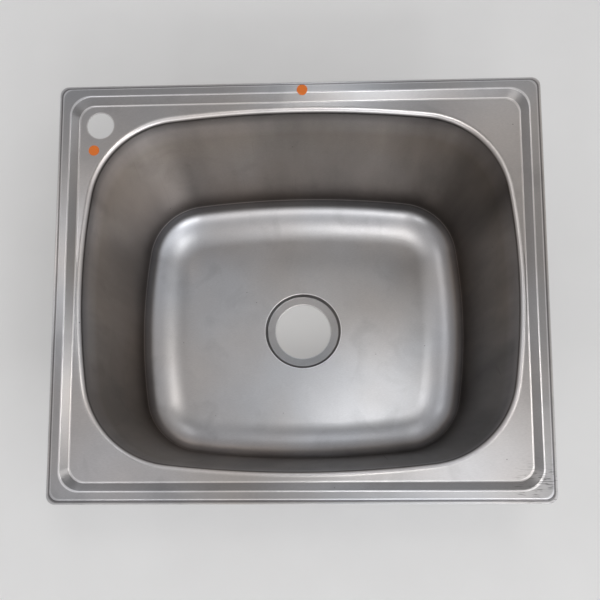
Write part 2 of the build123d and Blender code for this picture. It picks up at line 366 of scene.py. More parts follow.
# The bowl's wall, with the faint draw line where the wall turns into the floor. The turn is a
# Bezier curve that is tight against the wall and sweeps out softly over the floor
MOUTH_BEND, MOUTH_STEPS, DECK_AT_MOUTH = 7.0, 9, 7.2
TURN_UP_WALL, TURN_ON_FLOOR, TURN_STEPS = 30.0, 57.0, 30
WALL_PULL, FLOOR_PULL = 0.573, 0.53
SWEEP_Z = FLOOR_Z - 0.45
WALL_STEPS = 14
DRAW_LINE = ((-4.0, 0.0), (-3.0, 0.1), (-2.2, 0.35), (-1.6, 0.48), (-1.0, 0.35), (-0.4, 0.1))
# A painted highlight along the mouth's bend with painted shade under it at the wall's top, and a
# painted highlight along the draw line
MOUTH_PAINTED_LIGHT = (0.0, 0.2, 0.6, 1.0, 0.9, 0.5, 0.0, -0.5, -0.9, -1.0, -0.8, -0.2)
DRAW_LINE_HIGHLIGHT = (0.0, 0.5, 2.2, 3.4, 2.4, 0.6, 0.0)
floor_inset = (DECK_Z - FLOOR_Z) * math.tan(DRAFT)
mouth_corners = [(-DECK_AT_MOUTH, DECK_Z), (0.0, DECK_Z), (floor_inset, FLOOR_Z)]
bowl_line = rounded_profile(mouth_corners, (MOUTH_BEND,), (MOUTH_STEPS,))[:-1]
wall_start = len(bowl_line) - 1
turn_corner = Vector((floor_inset, FLOOR_Z))
wall_top = bowl_line[wall_start]
wall_foot = turn_corner + (wall_top - turn_corner).normalized() * TURN_UP_WALL
floor_start = Vector((floor_inset + TURN_ON_FLOOR, SWEEP_Z))
pulls = (
    wall_foot,
    wall_foot.lerp(turn_corner, WALL_PULL),
    floor_start.lerp(turn_corner, FLOOR_PULL),
    floor_start,
)
turn = []
for step in range(TURN_STEPS + 1):
    t = step / TURN_STEPS
    weights = ((1 - t) ** 3, 3 * t * (1 - t) ** 2, 3 * t * t * (1 - t), t**3)
    turn.append(sum((pull * weight for pull, weight in zip(pulls, weights)), Vector((0.0, 0.0))))
wall = [wall_top.lerp(wall_foot, step / WALL_STEPS) for step in range(1, WALL_STEPS)]
down = (wall_foot - wall_top).normalized()
inwards = Vector((-down.y, down.x))
wall += [wall_foot + down * run + inwards * rise for run, rise in DRAW_LINE]
bowl_line = bowl_line + wall + turn
bowl_painted_light = dict(enumerate(MOUTH_PAINTED_LIGHT))
bowl_painted_light.update(enumerate(DRAW_LINE_HIGHLIGHT, wall_start + WALL_STEPS))


def ring_band(outer, inner):
    """The faces between two closed rings with the same count of points."""
    found = []
    for i in range(len(outer)):
        j = (i + 1) % len(outer)
        found.append((outer[i], outer[j], inner[j], inner[i]))
    return found


class Sheet:
    """Points, faces and painted highlight or shade of the pressed steel, laid ring by ring from the
    edge to the drain.
    """

    def __init__(self):
        self.points = []
        self.faces = []
        self.painted_light = []

    def ring(self, points, painted_light=0.0):
        """Adds a closed ring of points and gives their numbers."""
        first = len(self.points)
        self.points += [Vector(p) for p in points]
        self.painted_light += [painted_light] * len(points)
        return list(range(first, len(self.points)))

    def join(self, outer, inner):
        """Lays a band of faces between two rings."""
        self.faces += ring_band(outer, inner)

    def normals(self):
        """The normals of all points, from the faces round them by their area."""
        found = [Vector() for _ in self.points]
        for face in self.faces:
            corners = [self.points[i] for i in face]
            area = Vector()
            for a, b in zip(corners[1:], corners[2:]):
                area += (a - corners[0]).cross(b - corners[0])
            for i in face:
                found[i] += area
        return [n.normalized() for n in found]


steel = Sheet()
rings = []
for inset, z, painted_light in rim_line:
    rings.append(steel.ring(plate_ring(inset, corner_radius_at(inset), z), painted_light))
plate_edge = rings[0]
for outer, inner in zip(rings, rings[1:]):
    steel.join(outer, inner)
deck_outer = rings[-1]

rings = []
for step, (inset, z) in enumerate(bowl_line):
    rings.append(steel.ring(bowl_ring(inset, z), bowl_painted_light.get(step, 0.0)))
for outer, inner in zip(rings, rings[1:]):
    steel.join(outer, inner)
deck_inner, floor_outer = rings[0], rings[-1]

TAP, TAP_RADIUS, TAP_HIGHLIGHT, TAP_STEPS = (-260.5, 220.5), 17.5, 1.6, 72


def circle(centre, radius, z, steps):
    """A closed ring of points on a circle."""
    turns = [2.0 * math.pi * step / steps for step in range(steps)]
    return [(centre[0] + radius * math.cos(t), centre[1] + radius * math.sin(t), z) for t in turns]


# A painted highlight round the tap hole's edge, fading out by the ring outside it
tap_edge = steel.ring(circle(TAP, TAP_RADIUS + SHEET / 2.0, DECK_Z, TAP_STEPS), 1.0)
tap_foot = steel.ring(circle(TAP, TAP_RADIUS + TAP_HIGHLIGHT, DECK_Z, TAP_STEPS), 0.0)
steel.join(tap_foot, tap_edge)
loops = [deck_outer, deck_inner, tap_foot]
deck_points = [i for loop in loops for i in loop]
for triangle in tessellate_polygon([[steel.points[i] for i in loop] for loop in loops]):
    a, b, c = (deck_points[i] for i in triangle)
    up = (steel.points[b] - steel.points[a]).cross(steel.points[c] - steel.points[a])
    steel.faces.append((a, b, c) if up.z > 0 else (a, c, b))

# The floor falls straight from the bowl's foot to the round recess, with soft diagonals. The
# recess has a painted highlight at its top and at the drain's edge, and painted shade down its side
# and, lighter, over its flange
RECESS_TOP_RADIUS, RECESS_RADIUS, DRAIN_RADIUS = 62.0, 58.0, 45.0
FALL_STEPS, RECESS_LEAD, FLANGE_DISH = 18, 1.5, 0.7
RECESS_BENDS, RECESS_STEPS = (1.2, 1.6), (5, 6)
TOP_HIGHLIGHT, FOOT_SHADE, DRAIN_HIGHLIGHT = 0.3, 0.4, 0.08
outer = floor_outer
outer_points = [steel.points[i] for i in floor_outer]
for step in range(1, FALL_STEPS + 1):
    share = step / FALL_STEPS
    z = SWEEP_Z + (RECESS_TOP_Z - SWEEP_Z) * share
    ring = []
    for point in outer_points:
        end = Vector((point.x, point.y, 0.0)).normalized() * (RECESS_TOP_RADIUS + RECESS_LEAD)
        x, y = point.x + (end.x - point.x) * share, point.y + (end.y - point.y) * share
        ring.append((x, y, z))
    ring = steel.ring(ring)
    steel.join(outer, ring)
    outer = ring
recess_corners = [
    (RECESS_TOP_RADIUS + RECESS_LEAD, RECESS_TOP_Z),
    (RECESS_TOP_RADIUS, RECESS_TOP_Z),
    (RECESS_RADIUS, RECESS_Z + FLANGE_DISH),
    (DRAIN_RADIUS + SHEET / 2.0, RECESS_Z),
]
recess_line = rounded_profile(recess_corners, RECESS_BENDS, RECESS_STEPS)
recess_line.insert(-1, recess_line[-1].lerp(recess_line[-2], DRAIN_HIGHLIGHT))
directions = [Vector((p.x, p.y)).normalized() for p in outer_points]
for step, (radius, z) in enumerate(recess_line[1:]):
    # Painted highlight at the top bend and the drain's edge, painted shade on the side and flange
    if radius > RECESS_TOP_RADIUS - TOP_HIGHLIGHT or step == len(recess_line) - 2:
        painted_light = 1.0
    else:
        painted_light = -0.9 if radius > RECESS_RADIUS + FOOT_SHADE else -0.5
    ring = steel.ring([(d.x * radius, d.y * radius, z) for d in directions], painted_light)
    steel.join(outer, ring)
    outer = ring
drain_edge = outer

# The lower face lies one sheet below the upper one, and the cut edges are rounded
upper_normals = steel.normals()
upper_count = len(steel.points)
steel.points += [p - n * SHEET for p, n in zip(steel.points, upper_normals)]
steel.painted_light += [0.0] * upper_count
steel.faces += [tuple(i + upper_count for i in reversed(face)) for face in steel.faces]
EDGE_STEPS = 4


def rounded_edge(loop, outwards):
    """The pairs of rings that close the sheet's cut edge along a loop with a half round."""
    upper = loop
    for step in range(1, EDGE_STEPS):
        angle = math.pi * step / EDGE_STEPS
        middle = []
        for i in loop:
            point, normal = steel.points[i], upper_normals[i]
            drop = SHEET / 2.0 * (1.0 - math.cos(angle))
            middle.append(point - normal * drop + outwards(point) * (SHEET / 2.0 * math.sin(angle)))
        lower = steel.ring(middle)
        yield upper, lower
        upper = lower
    yield upper, [i + upper_count for i in loop]


def plate_outwards(point):
    """Away from the plate's middle, square to its edge."""
    core_x, core_y = PLATE[0] - EDGE_CORNER, PLATE[1] - EDGE_CORNER
    near_x, near_y = max(-core_x, min(core_x, point.x)), max(-core_y, min(core_y, point.y))
    return (point - Vector((near_x, near_y, point.z))).normalized()


def drain_inwards(point):
    """Towards the middle of the drain hole."""
    return Vector((-point.x, -point.y, 0.0)).normalized()


def tap_inwards(point):
    """Towards the middle of the tap hole."""
    return Vector((TAP[0] - point.x, TAP[1] - point.y, 0.0)).normalized()


for upper, lower in rounded_edge(plate_edge, plate_outwards):
    steel.join(lower, upper)
for upper, lower in rounded_edge(drain_edge, drain_inwards):
    steel.join(upper, lower)
for upper, lower in rounded_edge(tap_edge, tap_inwards):
    steel.join(upper, lower)

steel_material, steel_tree, steel_shader = node_material("satin_steel")
steel_shader.inputs["Metallic"].default_value = 1.0
steel_place = add_node(steel_tree, "TexCoord")
steel_axes = add_node(steel_tree, "SeparateXYZ")
wire(steel_tree, (steel_place, "Object", steel_axes, "Vector"))

# Fine satin grain, a little longer one way, with slow patches of polish and of tint, and a
# drift from warm to cool over the whole sheet
satin_grain = add_texture(
    steel_tree, "TexNoise", (260.0, 1500.0, 1500.0), Scale=1.0, Detail=4.0, Roughness=0.65
)
grain_tint = add_range(steel_tree, 0.3, 0.7, 0.93, 1.07)
patches = add_texture(steel_tree, "TexNoise", Scale=9.0, Detail=5.0, Roughness=0.6)
patch_tint = add_ramp(steel_tree, (0.3, (0.525, 0.524, 0.540)), (0.7, (0.605, 0.602, 0.616)))
patch_polish = add_range(steel_tree, 0.0, 1.0, 0.282, 0.335)
tone_drift = add_texture(steel_tree, "TexNoise", Scale=4.0, Detail=2.0, Roughness=0.5)
drift_tint = add_ramp(steel_tree, (0.35, (1.045, 1.0, 0.955)), (0.62, (0.975, 1.0, 1.03)))
steel_bump = add_node(steel_tree, "Bump", Strength=0.05, Distance=0.00004)
wire(
    steel_tree,
    (satin_grain, "Fac", grain_tint, "Value"),
    (patches, "Fac", patch_tint, "Fac"),
    (patches, "Fac", patch_polish, "Value"),
    (tone_drift, "Fac", drift_tint, "Fac"),
    (satin_grain, "Fac", steel_bump, "Height"),
    (steel_bump, "Normal", steel_shader, "Normal"),
)

# Faint rings left by the polishing wheel on the floor, about the drain
ring_shape = {"Scale": 75.0, "Distortion": 5.0, "Detail": 4.0, "Detail_Scale": 2.2}
ring_marks = add_texture(
    steel_tree, "TexWave", wave_type="RINGS", rings_direction="Z", **ring_shape
)
on_floor = add_range(steel_tree, 0.030, 0.010, 0.0, 0.045)
ring_polish = add_node(steel_tree, "Math", operation="MULTIPLY_ADD")
wire(
    steel_tree,
    (steel_axes, "Z", on_floor, "Value"),
    (ring_marks, "Fac", ring_polish, 0),
    (on_floor, "Result", ring_polish, 1),
    (patch_polish, "Result", ring_polish, 2),
)

# Hairline scratches, long and thin, that scatter the light a little more
scratch_lines = add_texture(
    steel_tree, "TexNoise", (700.0, 9.0, 9.0), (0.3, 0.2, 1.35), Scale=1.0, Detail=1.0
)
scratches = add_range(steel_tree, 0.74, 0.78, 0.0, 0.15)
scratch_polish = add_node(steel_tree, "Math", operation="ADD")
wire(
    steel_tree,
    (scratch_lines, "Fac", scratches, "Value"),
    (ring_polish, "Value", scratch_polish, 0),
    (scratches, "Result", scratch_polish, 1),
)

# Inside, the drawn walls were stretched and rubbed by the die and came out warmer and duller, and
# painted shade darkens them, deepest near the foot. The outside is marked as the sheet's underside
# and keeps its even finish
underside_mark = add_node(steel_tree, "Attribute", attribute_name="underside")
inside_height = add_node(steel_tree, "Math", operation="ADD")
wall_tint_and_painted_shade = add_ramp(
    steel_tree,
    *((0.014, 1.0), (0.045, (0.25, 0.212, 0.18)), (0.11, (0.36, 0.318, 0.275))),
    *((0.20, (0.52, 0.47, 0.41)), (0.238, (0.82, 0.78, 0.74)), (0.25, 1.0)),
)
wall_mask = add_ramp(steel_tree, (0.022, 0.0), (0.05, 1.0), (0.225, 1.0), (0.242, 0.0))
wall_dulling = add_node(steel_tree, "Math", operation="MULTIPLY_ADD")
wall_dulling.inputs[1].default_value = 0.09
wire(
    steel_tree,
    (steel_axes, "Z", inside_height, 0),
    (underside_mark, "Fac", inside_height, 1),
    (inside_height, "Value", wall_tint_and_painted_shade, "Fac"),
    (inside_height, "Value", wall_mask, "Fac"),
    (wall_mask, "Color", wall_dulling, 0),
    (scratch_polish, "Value", wall_dulling, 2),
    (wall_dulling, "Value", steel_shader, "Roughness"),
)

# The die left streaks down the walls, and painted light makes the walls lighter towards the back
# left and darker towards the front right
draw_streaks = add_texture(
    steel_tree, "TexNoise", (11.0, 11.0, 2.5), Scale=1.0, Detail=4.0, Roughness=0.55
)
streak_shift = add_range(steel_tree, 0.3, 0.7, -0.32, 0.16)
painted_light_lean = add_node(steel_tree, "VectorMath", operation="DOT_PRODUCT")
painted_light_lean.inputs[1].default_value = (-1.25, 1.8, 0.0)
streaks_and_painted_lean = add_node(steel_tree, "Math", operation="ADD")
wall_streaks_and_painted_light = add_node(steel_tree, "Math", operation="MULTIPLY_ADD")
wall_streaks_and_painted_light.inputs[2].default_value = 1.0
wire(
    steel_tree,
    (draw_streaks, "Fac", streak_shift, "Value"),
    (steel_place, "Object", painted_light_lean, 0),
    (painted_light_lean, "Value", streaks_and_painted_lean, 0),
    (streak_shift, "Result", streaks_and_painted_lean, 1),
    (streaks_and_painted_lean, "Value", wall_streaks_and_painted_light, 0),
    (wall_mask, "Color", wall_streaks_and_painted_light, 1),
)

# Dried water left faint dull stains, and there are tiny dark specks
stain_shapes = add_texture(
    steel_tree, "TexNoise", Scale=17.0, Detail=5.0, Roughness=0.5, Distortion=0.6
)
stains = add_range(steel_tree, 0.57, 0.70, 1.0, 0.90)
speck_cells = add_texture(steel_tree, "TexVoronoi", Scale=34.0)
specks = add_range(steel_tree, 0.018, 0.030, 0.35, 1.0)
wire(
    steel_tree,
    (stain_shapes, "Fac", stains, "Value"),
    (speck_cells, "Distance", specks, "Value"),
)

# Scuffs on the band at the front right corner
scuff_reach = add_node(steel_tree, "VectorMath", operation="DISTANCE")
scuff_reach.inputs[1].default_value = (0.294, -0.258, 0.248)
scuff_near = add_range(steel_tree, 0.045, 0.015, 0.0, 1.0)
scuff_lines = add_texture(
    steel_tree, "TexNoise", (90.0, 700.0, 90.0), (0.0, 0.0, -0.7), Scale=1.0, Detail=3.0
)
scuff_marks = add_range(steel_tree, 0.55, 0.66, 0.0, 0.55)
scuffs = product(steel_tree, "Math", (scuff_near, "Result"), (scuff_marks, "Result"))
unscuffed = add_node(steel_tree, "Math", operation="SUBTRACT")
unscuffed.inputs[0].default_value = 1.0
wire(
    steel_tree,
    (steel_place, "Object", scuff_reach, 0),
    (scuff_reach, "Value", scuff_near, "Value"),
    (scuff_lines, "Fac", scuff_marks, "Value"),
    (scuffs, "Value", unscuffed, 1),
)

# Painted highlights on the bends and edges and painted shade in the creases, from a value stored on
# each point of the sheet
painted_light_mark = add_node(steel_tree, "Attribute", attribute_name="painted_light")
painted_light_factor = add_range(steel_tree, -1.0, 1.0, 0.42, 1.5, clamp=False)
wire(steel_tree, (painted_light_mark, "Fac", painted_light_factor, "Value"))

# All tones and tints together, with the painted light and shade
steel_tone = product(
    steel_tree,
    "Math",
    *((specks, "Result"), (stains, "Result"), (grain_tint, "Result"), (unscuffed, "Value")),
    *((painted_light_factor, "Result"), (wall_streaks_and_painted_light, "Value")),
)
steel_tint = product(
    steel_tree, "VectorMath", (patch_tint, "Color"), (drift_tint, "Color"), (wall_tint_and_painted_shade, "Color")
)
worn_tint = add_node(steel_tree, "VectorMath", operation="SCALE")
wire(
    steel_tree,
    (steel_tint, "Vector", worn_tint, 0),
    (steel_tone, "Value", worn_tint, "Scale"),
    (worn_tint, "Vector", steel_shader, "Base Color"),
)

tub = mesh_object("tub", [tuple(p * MM) for p in steel.points], steel.faces, steel_material)
tub.data.normals_split_custom_set_from_vertices([tuple(n) for n in steel.normals()])
# Each point's painted highlight or painted shade goes onto the mesh as an attribute
tub.data.attributes.new("painted_light", "FLOAT", "POINT").data.foreach_set("value", steel.painted_light)
lower_side = [1.0 if upper_count <= i < 2 * upper_count else 0.0 for i in range(len(steel.points))]
tub.data.attributes.new("underside", "FLOAT", "POINT").data.foreach_set("value", lower_side)
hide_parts("tub_shell")
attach(tub, "tub")

# Sealing tape
# Four lengths of black closed-cell foam tape, mitred where they meet. They are stuck in
# the hollow under the raised band and are pressed flat when the tub lies on its worktop.
foam_material, foam_tree, foam_shader = node_material("closed_cell_foam")
foam_shader.inputs["Roughness"].default_value = 0.95
foam_cells = add_texture(foam_tree, "TexVoronoi", Scale=1400.0)
foam_tint = add_ramp(foam_tree, (0.0, (0.035, 0.035, 0.037)), (1.0, (0.085, 0.085, 0.088)))
foam_bump = add_node(foam_tree, "Bump", Strength=0.5, Distance=0.0003)
wire(
    foam_tree,
    (foam_cells, "Distance", foam_tint, "Fac"),
    (foam_tint, "Color", foam_shader, "Base Color"),
    (foam_cells, "Distance", foam_bump, "Height"),
    (foam_bump, "Normal", foam_shader, "Normal"),
)

TAPE_FROM_EDGE, TAPE_WIDTH, TAPE_CORNER = 7.6, 7.0, 8.0
TAPE_LOW, TAPE_HIGH, TAPE_EDGE, TAPE_EDGE_STEPS = 244.5, 247.7, 0.9, 4
TAPE_LEAST_CORNER = 1.0
tape_corners = [
    (TAPE_FROM_EDGE, TAPE_LOW),
    (TAPE_FROM_EDGE + TAPE_WIDTH, TAPE_LOW),
    (TAPE_FROM_EDGE + TAPE_WIDTH, TAPE_HIGH),
    (TAPE_FROM_EDGE, TAPE_HIGH),
]
tape_section = []
for index, corner in enumerate(tape_corners):
    before, after = tape_corners[index - 1], tape_corners[(index + 1) % len(tape_corners)]
    tape_section += arc_between(before, corner, after, TAPE_EDGE, TAPE_EDGE_STEPS)
tape_rings = []
for inset, z in tape_section:
    corner = max(TAPE_CORNER - inset + TAPE_FROM_EDGE, TAPE_LEAST_CORNER)
    tape_rings.append(plate_ring(inset, corner, z))
corner_points = CORNER_STEPS + 1
around = len(tape_rings)
for side, name in enumerate(("back", "left", "front", "right")):
    start = side * corner_points + CORNER_STEPS // 2
    path = [(start + step) % len(tape_rings[0]) for step in range(corner_points + 1)]
    points = [tuple(Vector(ring[i]) * MM) for i in path for ring in tape_rings]
    faces = []
    for first in range(0, (len(path) - 1) * around, around):
        second = first + around
        for i in range(around):
            j = (i + 1) % around
            faces.append((first + i, second + i, second + j, first + j))
    faces.append(tuple(range(around)))
    faces.append(tuple(reversed(range((len(path) - 1) * around, len(path) * around))))
    tape = mesh_object(f"foam_tape_{name}", points, faces, foam_material)
    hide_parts(f"seal_{name}")
    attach(tape, "tub")

# Quietening pads
# Four pads of ribbed black rubber sheet, stuck to the outside of the bowl: two under its
# floor and one on each side wall. They damp the drumming of falling water.
rubber_material, rubber_tree, rubber_shader = node_material("damping_rubber")
rubber_grain = add_texture(rubber_tree, "TexNoise", Scale=900.0, Detail=6.0, Roughness=0.7)
rubber_patches = add_texture(rubber_tree, "TexNoise", Scale=24.0, Detail=4.0)
rubber_tint = add_ramp(rubber_tree, (0.0, (0.035, 0.036, 0.038)), (1.0, (0.085, 0.085, 0.087)))
rubber_dull = add_range(rubber_tree, 0.0, 1.0, 0.62, 0.86)
rubber_bump = add_node(rubber_tree, "Bump", Strength=0.35, Distance=0.0004)
wire(
    rubber_tree,
    (rubber_patches, "Fac", rubber_tint, "Fac"),
    (rubber_tint, "Color", rubber_shader, "Base Color"),
    (rubber_patches, "Fac", rubber_dull, "Value"),
    (rubber_dull, "Result", rubber_shader, "Roughness"),
    (rubber_grain, "Fac", rubber_bump, "Height"),
    (rubber_bump, "Normal", rubber_shader, "Normal"),
)

PAD_THICKNESS, PAD_CORNER, PAD_EDGE = 3.0, 14.0, 0.6
PAD_RIB, PAD_RIB_PITCH, PAD_BORDER, PAD_STEP = 0.4, 10.0, 5.0, 2.5
PAD_CORNER_STEPS, PAD_SHORT_STEPS, PAD_LONG_STEPS = 8, 40, 100
PAD_FIRST_STEP, PAD_LEAST_CORNER, PAD_EASE = 0.5, 0.5, 0.3
floor_reach = sorted((math.atan2(p.y, p.x), math.hypot(p.x, p.y)) for p in outer_points)
floor_reach.insert(0, (floor_reach[-1][0] - 2.0 * math.pi, floor_reach[-1][1]))
floor_reach.append((floor_reach[1][0] + 2.0 * math.pi, floor_reach[1][1]))


def under_floor(x, y):
    """The height of the steel's lower face under the bowl's sloping floor."""
    turn = math.atan2(y, x)
    for (a, reach_a), (b, reach_b) in zip(floor_reach, floor_reach[1:]):
        if a <= turn <= b:
            reach = reach_a + (reach_b - reach_a) * (turn - a) / (b - a)
            share = (reach - math.hypot(x, y)) / (reach - RECESS_TOP_RADIUS - RECESS_LEAD)
            return FLOOR_Z + (RECESS_TOP_Z - FLOOR_Z) * share - SHEET


def outside_wall(y, z):
    """How far from the middle the steel's outer face stands on a side wall."""
    radius = SIDE_RADIUS - (DECK_Z - z) * math.tan(DRAFT) + SHEET / math.cos(DRAFT)
    return math.sqrt(radius**2 - y**2) - side_centre


def pad_ring(half_u, half_v, corner):
    """A closed ring round a rectangle with rounded corners, always with the same point count."""
    ring = []
    for turn, (su, sv) in enumerate(QUADRANTS):
        middle_u, middle_v = su * (half_u - corner), sv * (half_v - corner)
        for step in range(PAD_CORNER_STEPS + 1):
            angle = math.radians(90.0 * (turn + step / PAD_CORNER_STEPS))
            ring.append((middle_u + corner * math.cos(angle), middle_v + corner * math.sin(angle)))
        along_u = turn % 2 == 0
        steps = PAD_SHORT_STEPS if along_u else PAD_LONG_STEPS
        run = 2.0 * ((half_u if along_u else half_v) - corner)
        su, sv = ring[-1]
        du, dv = ((-1, 0), (0, -1), (1, 0), (0, 1))[turn]
        for step in range(1, steps):
            ring.append((su + du * run * step / steps, sv + dv * run * step / steps))
    return ring


def pad_cap(ring):
    """Closes the innermost ring with a strip of quads, so that it follows a curved wall."""
    left = 2 * PAD_CORNER_STEPS + PAD_SHORT_STEPS
    right = left + PAD_LONG_STEPS + left
    faces = [tuple(ring[: left + 1]), tuple(ring[left + PAD_LONG_STEPS : right + 1])]
    for step in range(PAD_LONG_STEPS):
        across = (right + PAD_LONG_STEPS - step) % len(ring)
        corners = (left + step, left + step + 1, right + PAD_LONG_STEPS - step - 1, across)
        faces.append(tuple(ring[i] for i in corners))
    return faces


def rubber_pad(name, node, width, length, place):
    """A pad with eased edges and low ribs; place(u, v, depth) lays a point on the steel."""
    half_u, half_v = width / 2.0, length / 2.0
    inner_count = int((half_u - PAD_BORDER) / PAD_STEP)
    inner_steps = [PAD_BORDER + PAD_FIRST_STEP + PAD_STEP * step for step in range(inner_count)]
    steps = [(inset, 0.0) for inset in reversed(inner_steps)]
    steps += [(0.0, 0.0), (0.0, PAD_THICKNESS - PAD_EDGE)]
    steps += [(PAD_EDGE * PAD_EASE, PAD_THICKNESS - PAD_EDGE * PAD_EASE)]
    steps += [(PAD_EDGE, PAD_THICKNESS), (PAD_BORDER, PAD_THICKNESS)]
    steps += [(inset, PAD_THICKNESS) for inset in inner_steps]
    points, rings = [], []
    for inset, depth in steps:
        first = len(points)
        corner = max(PAD_CORNER - inset, PAD_LEAST_CORNER)
        for u, v in pad_ring(half_u - inset, half_v - inset, corner):
            ribbed = 1.0 if inset > PAD_BORDER and depth > 0.0 else 0.0
            dip = PAD_RIB * ribbed * (0.5 - 0.5 * math.cos(2.0 * math.pi * v / PAD_RIB_PITCH))
            points.append(tuple(Vector(place(u, v, depth - dip)) * MM))
        rings.append(list(range(first, len(points))))
    faces = []
    for outer, inner in zip(rings, rings[1:]):
        faces += ring_band(outer, inner)
    faces += pad_cap(rings[0]) + pad_cap(rings[-1])
    pad = mesh_object(name, points, faces, rubber_material)
    tidy = bmesh.new()
    tidy.from_mesh(pad.data)
    bmesh.ops.recalc_face_normals(tidy, faces=tidy.faces)
    tidy.to_mesh(pad.data)
    tidy.free()
    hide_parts(node)
    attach(pad, "tub")


GLUE = 0.05
FLOOR_PAD_X, FLOOR_PAD = 132.0, (112.0, 250.0)
SIDE_PAD_Z, SIDE_PAD = 127.5, (110.0, 210.0)
for side, name in ((-1.0, "left"), (1.0, "right")):

    def under(u, v, depth, side=side):
        """Laid on the underside of the floor."""
        x = side * FLOOR_PAD_X + u
        return x, v, under_floor(x, v) - GLUE - depth

    def beside(u, v, depth, side=side):
        """Laid on the outside of a side wall."""
        z = SIDE_PAD_Z + u
        return side * (outside_wall(v, z) + GLUE + depth), v, z

    rubber_pad(f"rubber_floor_pad_{name}", f"floor_pad_{name}", *FLOOR_PAD, under)
    rubber_pad(f"rubber_side_pad_{name}", f"side_pad_{name}", *SIDE_PAD, beside)

# Marker dots
# Two round orange paper stickers on the upper face, one on the middle of the back rim and
# one in front of the tap hole. They show where the holes go and peel off later.
paper_material, paper_tree, paper_shader = node_material("orange_paper")
paper_shader.inputs["Roughness"].default_value = 0.75
paper_fibres = add_texture(paper_tree, "TexNoise", Scale=1500.0, Detail=5.0)
paper_tint = add_ramp(paper_tree, (0.0, (0.62, 0.13, 0.012)), (1.0, (0.78, 0.20, 0.025)))
paper_bump = add_node(paper_tree, "Bump", Strength=0.25, Distance=0.0001)
wire(
    paper_tree,
    (paper_fibres, "Fac", paper_tint, "Fac"),
    (paper_tint, "Color", paper_shader, "Base Color"),
    (paper_fibres, "Fac", paper_bump, "Height"),
    (paper_bump, "Normal", paper_shader, "Normal"),
)
for node in ("marker_back", "marker_tap"):
    bpy.data.objects[node].material_slots[0].material = paper_material

# Clip brackets
# Eight brackets bent from 2 mm stainless strip and spot welded under the deck. The strip
# keeps the mill's fine lengthwise grain, and each lug has a threaded boss for its screw.
strip_material, strip_tree, strip_shader = node_material("mill_strip")
strip_shader.inputs["Metallic"].default_value = 1.0
strip_grain = add_texture(strip_tree, "TexNoise", (90.0, 90.0, 1800.0), Scale=1.0, Detail=4.0)
strip_tint = add_ramp(strip_tree, (0.0, (0.50, 0.495, 0.485)), (1.0, (0.64, 0.635, 0.625)))
strip_dull = add_range(strip_tree, 0.0, 1.0, 0.24, 0.42)
strip_bump = add_node(strip_tree, "Bump", Strength=0.15, Distance=0.0001)
wire(
    strip_tree,
    (strip_grain, "Fac", strip_tint, "Fac"),
    (strip_tint, "Color", strip_shader, "Base Color"),
    (strip_grain, "Fac", strip_dull, "Value"),
    (strip_dull, "Result", strip_shader, "Roughness"),
    (strip_grain, "Fac", strip_bump, "Height"),
    (strip_bump, "Normal", strip_shader, "Normal"),
)

CLIP_SPOTS = {
    "right_front": (289.0, -150.0),
    "right_back": (289.0, 150.0),
    "back_right": (180.0, 249.0),
    "back_left": (-180.0, 249.0),
    "left_back": (-289.0, 150.0),
    "left_front": (-289.0, -150.0),
    "front_left": (-180.0, -249.0),
    "front_right": (180.0, -249.0),
}
for spot in CLIP_SPOTS:
    bpy.data.objects[f"clip_bracket_{spot}"].material_slots[0].material = strip_material


# Washers and claws
# Pressed steel with a bright zinc plating. Plating leaves a fine mottled spangle, a faint
# blue and straw tint, and dull spots where the parts rubbed together in the drum.
def zinc_finish(name, dark, light, scale, dullest):
    """Zinc plating, mottled at a given scale."""
    material, tree, shader = node_material(name)
    shader.inputs["Metallic"].default_value = 1.0
    spangle = add_texture(tree, "TexVoronoi", Scale=scale)
    cloud = add_texture(tree, "TexNoise", Scale=scale * 0.3, Detail=5.0, Roughness=0.65)
    tint = add_ramp(tree, (0.3, dark), (0.7, light))
    dull = add_range(tree, 0.0, 1.0, 0.26, dullest)
    bump = add_node(tree, "Bump", Strength=0.12, Distance=0.0001)
    wire(
        tree,
        (cloud, "Fac", tint, "Fac"),
        (tint, "Color", shader, "Base Color"),
        (spangle, "Distance", dull, "Value"),
        (dull, "Result", shader, "Roughness"),
        (spangle, "Distance", bump, "Height"),
        (bump, "Normal", shader, "Normal"),
    )
    return material


washer_zinc = zinc_finish("washer_zinc", (0.60, 0.63, 0.66), (0.74, 0.73, 0.70), 500.0, 0.45)
claw_zinc = zinc_finish("claw_zinc", (0.52, 0.55, 0.58), (0.69, 0.68, 0.64), 350.0, 0.55)
for spot in CLIP_SPOTS:
    bpy.data.objects[f"clip_washer_{spot}"].material_slots[0].material = washer_zinc
    bpy.data.objects[f"clip_claw_{spot}"].material_slots[0].material = claw_zinc

# Clamping screws
# Eight M6 screws with a slotted hexagon head and a pressed flange, cold headed, rolled
# with a 1 mm thread and zinc plated. Each turns up through its claw into the bracket.
screw_zinc = zinc_finish("screw_zinc", (0.56, 0.58, 0.61), (0.72, 0.71, 0.67), 700.0, 0.48)
SCREW_LOW, HEAD_HEIGHT, FLANGE_HEIGHT = 181.4, 4.0, 1.2
SCREW_LENGTH, SCREW_PITCH, TIP_TAPER = 35.0, 1.0, 1.0
HEAD_ACROSS_FLATS, HEAD_CHAMFER_RADIUS, FLANGE_RADIUS = 10.0, 4.6, 6.8
THREAD_TOP, THREAD_HALF, CORE_RADIUS, TIP_RADIUS = 2.98, 0.48, 2.46, 1.9
THREAD_FROM_HEAD, THREAD_STEPS, RIDGE_SIDES = 0.6, 24, 4
SLOT_WIDTH, SLOT_DEPTH, SLOT_OVERRUN = 1.4, 1.8, 1.0
HEAD_POINTS = 96
SHARP_ANGLE = math.radians(32.0)

